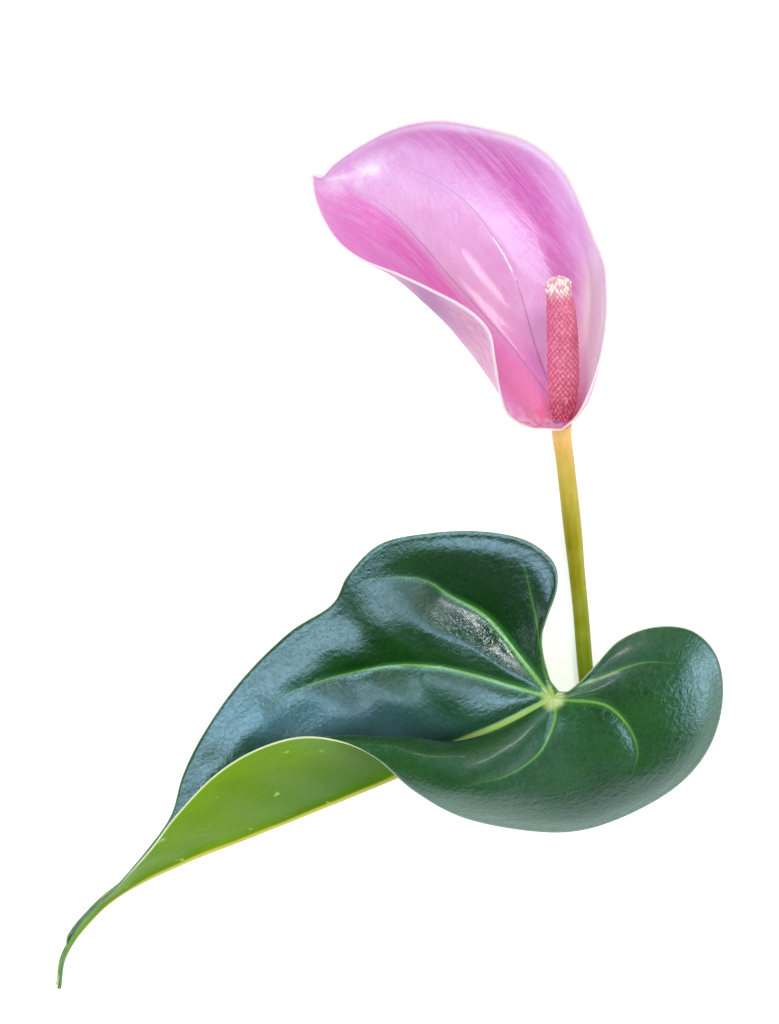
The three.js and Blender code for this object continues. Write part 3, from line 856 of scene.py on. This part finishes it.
def leaf_edge_material():
    """The leaf's rim, with a pale hem along the fold."""
    material, tree = new_material("leaf_edge", IOR=1.45)
    speck = noise(tree, place(tree), 300, 3, 0.6)
    colour = mix(tree, fit(tree, speck, 0.35, 0.7), srgb(104, 132, 92), srgb(82, 110, 72))
    colour = mix(tree, "hem", colour, srgb(214, 212, 160))
    return dressed(material, colour, fit(tree, speck, 0.3, 0.7, 0.35, 0.55), speck, 0.0001)


def spathe_inner_material():
    """Glossy pink, streaked along the ribs, with deeper, warmer and paler areas. The deep band is partly
    painted shade, the pale upper margin is partly a painted reflection, the lighter pink above the base is
    partly painted light, and the streak near the tip is a painted highlight.
    """
    material, tree = new_material(
        "spathe_inner",
        IOR=1.45,
        Coat_Weight=0.5,
        Coat_Roughness=0.1,
        Subsurface_Weight=0.3,
        Subsurface_Scale=0.002,
    )
    at = place(tree)
    flow = vector(tree, "flow")
    broad = noise(tree, at, 35, 3, 0.5, 0.5)
    blotch = noise(tree, at, 150, 4, 0.6, 0.6)
    streaks = noise(tree, scaled(tree, flow, 0.7, 0.07, 1), 1.0, 4, 0.6, 0.4)
    threads = noise(tree, scaled(tree, flow, 2.4, 0.12, 1), 1.0, 4, 0.65)
    fine = noise(tree, at, 380, 4, 0.6)
    net = cells(tree, at, 380)
    softened = fit(tree, streaks, 0.25, 0.68, 0.5, 1)
    flecks = fit(tree, noise(tree, at, 420, 4, 0.6, 0.6), 0.42, 0.6)
    vein = maths(tree, "MAXIMUM", veins(tree, 0.36), "midrib")
    # Pale strip inside the right half's upper margin: partly paler colour, partly a painted reflection
    pale = times(tree, "pale", fit(tree, blotch, 0.25, 0.6, 0.7, 1))
    # A painted highlight near the tip, broken up by blotches
    painted_tip_highlight = times(tree, "painted_tip_highlight", fit(tree, blotch, 0.35, 0.6))
    colour = layers(
        tree,
        mix(tree, fit(tree, broad, 0.3, 0.7), srgb(234, 186, 224), srgb(228, 166, 213)),
        (fit(tree, blotch, 0.4, 0.7, 0, 0.4), srgb(240, 200, 230)),
        (times(tree, "deep", softened), srgb(232, 98, 190)),
        # Deep band down the right half, partly its colour and partly painted shade
        (times(tree, "deep_band_and_shade", softened), srgb(200, 80, 162)),
        (fit(tree, fine, 0.45, 0.75, 0, 0.15), srgb(234, 184, 212)),
        (fit(tree, streaks, 0.55, 0.75, 0, 0.25), srgb(236, 196, 220)),
        (fit(tree, threads, 0.48, 0.66, 0, 0.3), srgb(244, 208, 234)),
        # Lighter pink over the lower part, partly its colour and partly painted light
        ("blush_and_painted_light", srgb(255, 148, 204)),
        ("warm", srgb(238, 84, 138)),
        ("plum", srgb(206, 90, 186)),
        (times(tree, "lip", flecks), srgb(255, 232, 238)),
        (times(tree, vein, 0.5), srgb(170, 80, 146)),
        (maths(tree, "MAXIMUM", pale, painted_tip_highlight), srgb(255, 236, 246)),
        ("cream", srgb(255, 255, 246)),
        (fit(tree, "from_edge", 0.1, 0.6, 1, 0), srgb(250, 214, 214)),
    )
    grain = noise(tree, at, 1100, 3, 0.6)
    height = plus(tree, times(tree, net, 0.5), times(tree, fine, 0.5))
    height = plus(tree, height, times(tree, grain, 0.5))
    return dressed(material, colour, fit(tree, fine, 0.3, 0.7, 0.28, 0.45), height, 0.0004)


def spathe_outer_material():
    """Paler, satin pink with fine lines and a painted mauve shade where it folds over."""
    material, tree = new_material("spathe_outer", IOR=1.45, Specular_IOR_Level=0.3)
    at = place(tree)
    broad = noise(tree, at, 35, 3, 0.5, 0.5)
    fine = noise(tree, at, 380, 4, 0.6)
    lines = noise(tree, scaled(tree, vector(tree, "flow"), 1.6, 0.25, 1), 1.0, 3, 0.6, 0.3)
    colour = layers(
        tree,
        mix(tree, fit(tree, broad, 0.3, 0.7), srgb(236, 148, 178), srgb(226, 138, 172)),
        (fit(tree, lines, 0.42, 0.62, 0, 0.5), srgb(244, 198, 206)),
        # Painted mauve shade where the spathe folds over
        ("painted_fold_shade", srgb(176, 92, 150)),
        (fit(tree, fine, 0.4, 0.75, 0, 0.2), srgb(244, 190, 206)),
        (times(tree, veins(tree, 0.8), 0.4), srgb(176, 120, 130)),
        (fit(tree, "from_edge", 0.3, 1.4, 1, 0), srgb(246, 206, 218)),
    )
    return dressed(material, colour, fit(tree, fine, 0.3, 0.7, 0.4, 0.55), fine, 0.00012)


def spathe_edge_material():
    """The spathe's rim, between pale pink and cream."""
    material, tree = new_material("spathe_edge", IOR=1.45)
    speck = noise(tree, place(tree), 260, 3, 0.6)
    colour = mix(tree, fit(tree, speck, 0.35, 0.7), srgb(250, 214, 226), srgb(244, 206, 176))
    return dressed(material, colour, fit(tree, speck, 0.3, 0.7, 0.35, 0.55), speck, 0.0001)


def spadix_material():
    """Rosy florets with pale specks, darker at the base and whitish at the tip."""
    material, tree = new_material("spadix_florets", IOR=1.45, Specular_IOR_Level=0.4)
    at = place(tree)
    fine = noise(tree, at, 900, 3, 0.6)
    broad = noise(tree, at, 160)
    strokes = noise(tree, scaled(tree, at, 1, 0.5, 1), 1500, 2, 0.5)
    rose = mix(tree, fit(tree, broad, 0.35, 0.65), srgb(214, 92, 122), srgb(228, 112, 140))
    pale = mix(tree, fit(tree, "height", 0.84, 0.92), srgb(236, 148, 156), srgb(255, 244, 234))
    colour = layers(
        tree,
        mix(tree, fit(tree, "crown", 0.1, 0.5), srgb(206, 74, 106), rose),
        (fit(tree, "height", 0, 0.34, 0.85, 0), srgb(176, 30, 62)),
        (fit(tree, "height", 0.84, 0.93, 0, 0.6), srgb(240, 176, 168)),
        ("speck", pale),
        (fit(tree, strokes, 0.54, 0.66, 0, 0.6), srgb(240, 152, 158)),
    )
    return dressed(material, colour, fit(tree, fine, 0.3, 0.7, 0.4, 0.6), fine, 0.0001)


def stalk_material(name, top, middle, bottom):
    """A stalk whose colour runs through three tones along its length."""
    tint = (1.0, 0.98, 0.7, 1)
    material, tree = new_material(name, IOR=1.45, Specular_IOR_Level=0.3, Specular_Tint=tint)
    at = place(tree)
    fibres = noise(tree, scaled(tree, at, 1, 0.06, 1), 900, 3, 0.55)
    blotch = noise(tree, at, 120, 3, 0.55, 0.3)
    colour = mix(tree, fit(tree, "length", 0.05, 0.5), top, middle)
    colour = mix(tree, fit(tree, "length", 0.4, 1), colour, bottom)
    darker = mix(tree, 0.5, colour, srgb(96, 104, 0))
    colour = mix(tree, fit(tree, fibres, 0.35, 0.7, 0, 0.3), colour, darker)
    lighter = mix(tree, 0.35, colour, srgb(240, 214, 110))
    colour = mix(tree, fit(tree, blotch, 0.45, 0.75, 0, 0.5), colour, lighter)
    return dressed(material, colour, fit(tree, blotch, 0.3, 0.7, 0.34, 0.5), fibres, 0.00012)


def stub_material():
    """Brownish, ringed bark."""
    material, tree = new_material("stub_bark", IOR=1.45)
    at = place(tree)
    rough = noise(tree, at, 260, 5, 0.6, 0.6)
    rings = noise(tree, scaled(tree, at, 0.2, 1, 0.2), 500)
    colour = mix(tree, fit(tree, rough, 0.35, 0.65), srgb(104, 84, 44), srgb(140, 134, 66))
    colour = mix(tree, fit(tree, rings, 0.5, 0.7, 0, 0.5), colour, srgb(74, 56, 34))
    return dressed(material, colour, fit(tree, rough, 0.3, 0.7, 0.6, 0.85), rough, 0.0006)


def patch(points, x, y, long, short, turn):
    """A soft oval patch in plan: 1 at its centre, 0 outside."""
    dx, dy = points[:, 0] - x, points[:, 1] - y
    turn = math.radians(turn)
    u = (dx * math.cos(turn) + dy * math.sin(turn)) / long
    w = (dy * math.cos(turn) - dx * math.sin(turn)) / short
    return np.exp(-(u**2) - w**2)


def step(values, start, end):
    """0 up to the start, 1 past the end, and even between them; start may lie beyond the end."""
    return np.clip((values - start) / (end - start), 0, 1)


def blade_numbers(info):
    """The numbers that both blades' materials use, and places that follow a blade's growth."""
    names = ("offsets", "strengths", "midrib", "keel", "from_edge", "junction")
    numbers = {name: info[name] for name in names}
    along_ribs = FLOW_STEP * info["place"]
    numbers["flow"] = np.column_stack([info["across"], along_ribs, FLOW_APART * info["side"]])
    return numbers


def build_leaf():
    """The leaf blade, with numbers for where its colour and gloss change."""
    points, triangles, parts, info = blade_mesh(LEAF)
    numbers = blade_numbers(info)
    rib, share, from_edge = info["place"], info["share"], info["from_edge"]
    near = info["side"] < 0.5
    far = ~near
    # Shade on the underside, beside the keel
    numbers["shade"] = 0.9 * patch(points, -10, -67, 26, 9, 24)
    # Softer gloss on the near half, by the notch and by the fold, and on two spots of the far half
    satin = near * (step(rib, 19, 21) + step(rib, 17, 14) * step(share, 0.8, 0.5))
    satin += far * (patch(points, 12, -40, 32, 6, 8) + patch(points, 10, -12, 14, 7, 20))
    numbers["satin"] = np.clip(satin, 0, 1)
    # The near half's rim is pale where it shows above the underside, and less so further on
    hem = step(rib, 3, 4) * step(rib, 12, 11)
    numbers["hem"] = near * (hem + 0.4 * step(rib, 12, 13) * step(rib, 24, 23))
    # A light line runs along the far half's margin towards the junction
    numbers["notch"] = far * step(rib, 18.5, 19.5)
    numbers["crinkle"] = patch(points, 33, -25, 18, 9, -52)
    # Where the far half's painted blue-grey sheen lies, beside the fold
    numbers["painted_sheen"] = far * patch(points, -20, -51, 33, 7.5, -4)
    # Painted shade: the far half is darker, most of all on its lobe, and so is the middle of the near half
    dim = far * np.clip(0.45 + 0.55 * patch(points, 38, -10, 26, 20, 0), 0, 1)
    numbers["dim"] = dim + 0.55 * near * bell(from_edge - 13, 9) * bell(rib - 15, 3.5)
    skin = [leaf_upper_material(), leaf_under_material(), leaf_edge_material()]
    return make_piece("leaf_blade_visual", points, triangles, parts, skin, numbers, "leaf_blade")


def build_spathe():
    """The spathe, with numbers for where its colour changes."""
    points, triangles, parts, info = blade_mesh(SPATHE)
    numbers = blade_numbers(info)
    rib, share, from_edge = info["place"], info["share"], info["from_edge"]
    left = info["side"] < 0.5
    right = ~left
    # Deep pink over the left half, and a deep band down the right one that is partly its colour and partly
    # painted shade
    numbers["deep"] = np.clip(left * bell(rib - 6.5, 5.5) * step(share, 0, 1 / 12), 0, 1)
    band_share = np.interp(rib, [5, 7.5, 10.5], [0.86, 0.7, 0.54])
    numbers["deep_band_and_shade"] = right * bell(share - band_share, 0.2) * bell(rib - 7.6, 3.4)
    # Redder at the base and bluer above it, and lighter pink over the lower part that is partly its colour
    # and partly painted light
    numbers["warm"] = 0.7 * patch(points, 49.5, 42.5, 7, 4, 10)
    numbers["plum"] = 0.5 * patch(points, 43.4, 57.7, 8, 3.5, -60)
    numbers["blush_and_painted_light"] = 0.9 * patch(points, 42, 46, 17, 9, -40)
    # Whitish flecks by the lower lip, and pale and cream margins; the pale strip inside the right half's
    # upper margin is partly paler colour and partly a painted reflection
    numbers["lip"] = left * bell(rib - 13.5, 2.4) * bell(from_edge, 12)
    numbers["pale"] = 0.95 * right * bell(from_edge - 2.4, 2.2) * bell(rib - 7, 3.8)
    numbers["cream"] = right * np.minimum(1, 1.6 * patch(points, 62, 66, 22, 3.4, 91))
    # A painted highlight near the tip
    numbers["painted_tip_highlight"] = 0.8 * patch(points, -8, 115, 12, 3, 28)
    # Painted shade, mauve, on the outer side where it folds over
    numbers["painted_fold_shade"] = patch(points, 11, 73, 15, 6, -48)
    skin = [spathe_inner_material(), spathe_outer_material(), spathe_edge_material()]
    return make_piece("spathe_visual", points, triangles, parts, skin, numbers, "spathe")


def spadix_rings():
    """Rings from base to tip: their centres, radii, two directions across, and height from 0 to 1."""
    centres, radii, axis, across, over = frames_along(SPADIX_LINE, SPADIX["rows"])
    tip_rows = SPADIX["tip_rows"]
    quarter = np.linspace(0, 1, tip_rows + 1)[1:] * math.pi / 2
    tip = centres[-1] + SPADIX["tip_height"] * np.sin(quarter)[:, None] * axis[-1]
    tip_radii = radii[-1] * np.maximum(np.cos(quarter) ** SPADIX["tip_bluntness"], 0.02)
    centres = np.vstack([centres, tip])
    radii = np.concatenate([radii, tip_radii])
    across, over = [np.vstack([x, np.repeat(x[-1:], tip_rows, axis=0)]) for x in (across, over)]
    lengths = np.linalg.norm(np.diff(centres, axis=0), axis=1)
    height = np.concatenate([[0], np.cumsum(lengths)])
    return centres, radii, across, over, height / height[-1]


def build_spadix():
    """The finger of florets: a net of diamond cells, each a low pillow, that closes over the blunt tip."""
    centres, radii, across, over, height = spadix_rings()
    around = SPADIX["around"]
    turn = (np.arange(around) / around)[None]
    up = height[:, None]
    s = up * SPADIX["floret_rows"] / 2
    swirl = SPADIX["wander"] * np.sin(6 * math.pi * turn + 37 * up)
    drift = SPADIX["wander"] * np.sin(10 * math.pi * turn - 53 * up + 2)
    a = s + SPADIX["florets_around"] * turn + swirl
    b = s - (SPADIX["florets_around"] + 1) * turn + drift
    crown = np.sqrt(np.abs(np.sin(math.pi * a) * np.sin(math.pi * b)))

    # Each floret has a tone for its size and another for how pale its crown is
    tones = np.random.default_rng(4).random((TONES, TONES))
    i = np.floor(a).astype(int) % TONES
    j = np.floor(b).astype(int) % TONES
    tone, pale_tone = tones[i, j], tones[j, i]
    at_tip = step(up, SPADIX["whitish_from"], SPADIX["whitish_from"] + 0.06)
    speck = step(crown, 0.7, 0.9) * pale_tone**1.5
    speck = np.maximum(speck, at_tip * step(crown, 0.35, 0.55) * (pale_tone > 0.25))
    lift = SPADIX["floret_height"] * (crown * (0.7 + 0.6 * tone) - 0.35)
    lift += SPADIX["knobs"] * at_tip * crown * (tone - 0.3)
    shown = np.minimum(1, radii / 2.2)[:, None]
    points, triangles = tube_mesh(centres, across, over, radii[:, None] + lift * shown, around)
    numbers = {
        "crown": np.concatenate([crown.reshape(-1), [0, 0]]),
        "speck": np.concatenate([speck.reshape(-1), [0, 0]]),
        "height": np.concatenate([np.repeat(height, around), [0, 1]]),
    }
    parts = np.zeros(len(triangles), int)
    skin = [spadix_material()]
    return make_piece("spadix_visual", points, triangles, parts, skin, numbers, "spadix")


def build_stalk(name, line, material, node, ridges=0.05):
    """A stalk, slightly ribbed along its length: three ribs that come and go, and seven lower ones."""
    centres, radii, _, across, over = frames_along(line, STALK_ROWS)
    angle = 2 * math.pi * np.arange(STALK_AROUND) / STALK_AROUND
    length = np.linspace(0, 1, STALK_ROWS)
    wobble = np.sin(3 * angle)[None] * np.sin(9 * length)[:, None] + 0.6 * np.sin(7 * angle)[None]
    full = radii[:, None] * np.ones(STALK_AROUND) + ridges * wobble - ridges
    points, triangles = tube_mesh(centres, across, over, full, STALK_AROUND)
    numbers = {"length": np.concatenate([np.repeat(length, STALK_AROUND), [0, 1]])}
    parts = np.zeros(len(triangles), int)
    return make_piece(name, points, triangles, parts, [material], numbers, node)


def build_floor():
    """The pale floor under the flower."""
    half = FLOOR_HALF
    corners = [(-half, -half, 0), (half, -half, 0), (half, half, 0), (-half, half, 0)]
    mesh = bpy.data.meshes.new("floor")
    mesh.from_pydata(corners, [], [(0, 1, 2, 3)])
    glow = (0.88, 0.95, 1.0, 1)
    material, tree = new_material("floor_paint", Roughness=0.9, Emission_Strength=0.5, Emission_Color=glow)
    grain = noise(tree, place(tree), 60, 2, 0.5)
    colour = mix(tree, grain, (0.95, 0.91, 0.88), (0.92, 0.88, 0.85))
    tree.links.new(colour, tree.nodes["Principled BSDF"].inputs["Base Color"])
    mesh.materials.append(material)
    floor = bpy.data.objects.new("floor", mesh)
    bpy.context.scene.collection.objects.link(floor)


def add_light(name, azimuth, elevation, spread, radiance, colour):
    """A soft, far light."""
    light = bpy.data.lights.new(name, "SUN")
    light.angle = math.radians(spread)
    light.energy = radiance * 2 * math.pi * (1 - math.cos(light.angle / 2))
    light.color = colour
    lamp = bpy.data.objects.new(name, light)
    bpy.context.scene.collection.objects.link(lamp)
    a, e = math.radians(azimuth), math.radians(elevation)
    towards = Vector((math.cos(a) * math.cos(e), math.sin(a) * math.cos(e), math.sin(e)))
    lamp.location = towards
    lamp.rotation_mode = "QUATERNION"
    lamp.rotation_quaternion = towards.to_track_quat("Z", "Y")


def build_stage():
    """The floor, the lights and the camera."""
    build_floor()
    for light in LIGHTS:
        add_light(*light)
    world = bpy.data.worlds.new("room")
    bpy.context.scene.world = world
    world.use_nodes = True
    sky = world.node_tree.nodes["Background"]
    sky.inputs["Color"].default_value = SKY_COLOUR
    sky.inputs["Strength"].default_value = SKY_STRENGTH
    camera = bpy.data.cameras.new("camera")
    camera.lens = CAMERA_LENS
    camera.clip_end = 100
    view = bpy.data.objects.new("camera", camera)
    view.location = CAMERA_PLACE
    bpy.context.scene.collection.objects.link(view)
    bpy.context.scene.camera = view
    bpy.context.scene.view_settings.view_transform = "Standard"


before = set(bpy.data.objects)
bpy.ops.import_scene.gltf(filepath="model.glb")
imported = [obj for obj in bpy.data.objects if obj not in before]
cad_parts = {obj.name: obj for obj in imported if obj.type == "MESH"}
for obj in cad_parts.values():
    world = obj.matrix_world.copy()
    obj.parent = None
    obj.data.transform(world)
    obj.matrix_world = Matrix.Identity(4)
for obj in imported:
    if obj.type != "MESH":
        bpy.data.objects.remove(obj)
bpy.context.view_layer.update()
build_leaf()
build_spathe()
build_spadix()
stem_tones = [srgb(248, 178, 104), srgb(168, 150, 0), srgb(110, 134, 0)]
stem_skin = stalk_material("flower_stem_skin", *stem_tones)
stalk_tones = [srgb(150, 176, 60), srgb(122, 146, 44), srgb(104, 118, 44)]
stalk_skin = stalk_material("leaf_stalk_skin", *stalk_tones)
build_stalk("flower_stem_visual", FLOWER_STEM_LINE, stem_skin, "flower_stem")
build_stalk("leaf_stalk_visual", LEAF_STALK_LINE, stalk_skin, "leaf_stalk")
build_stalk("stub_visual", STUB_LINE, stub_material(), "stub", 0.15)
build_stage()
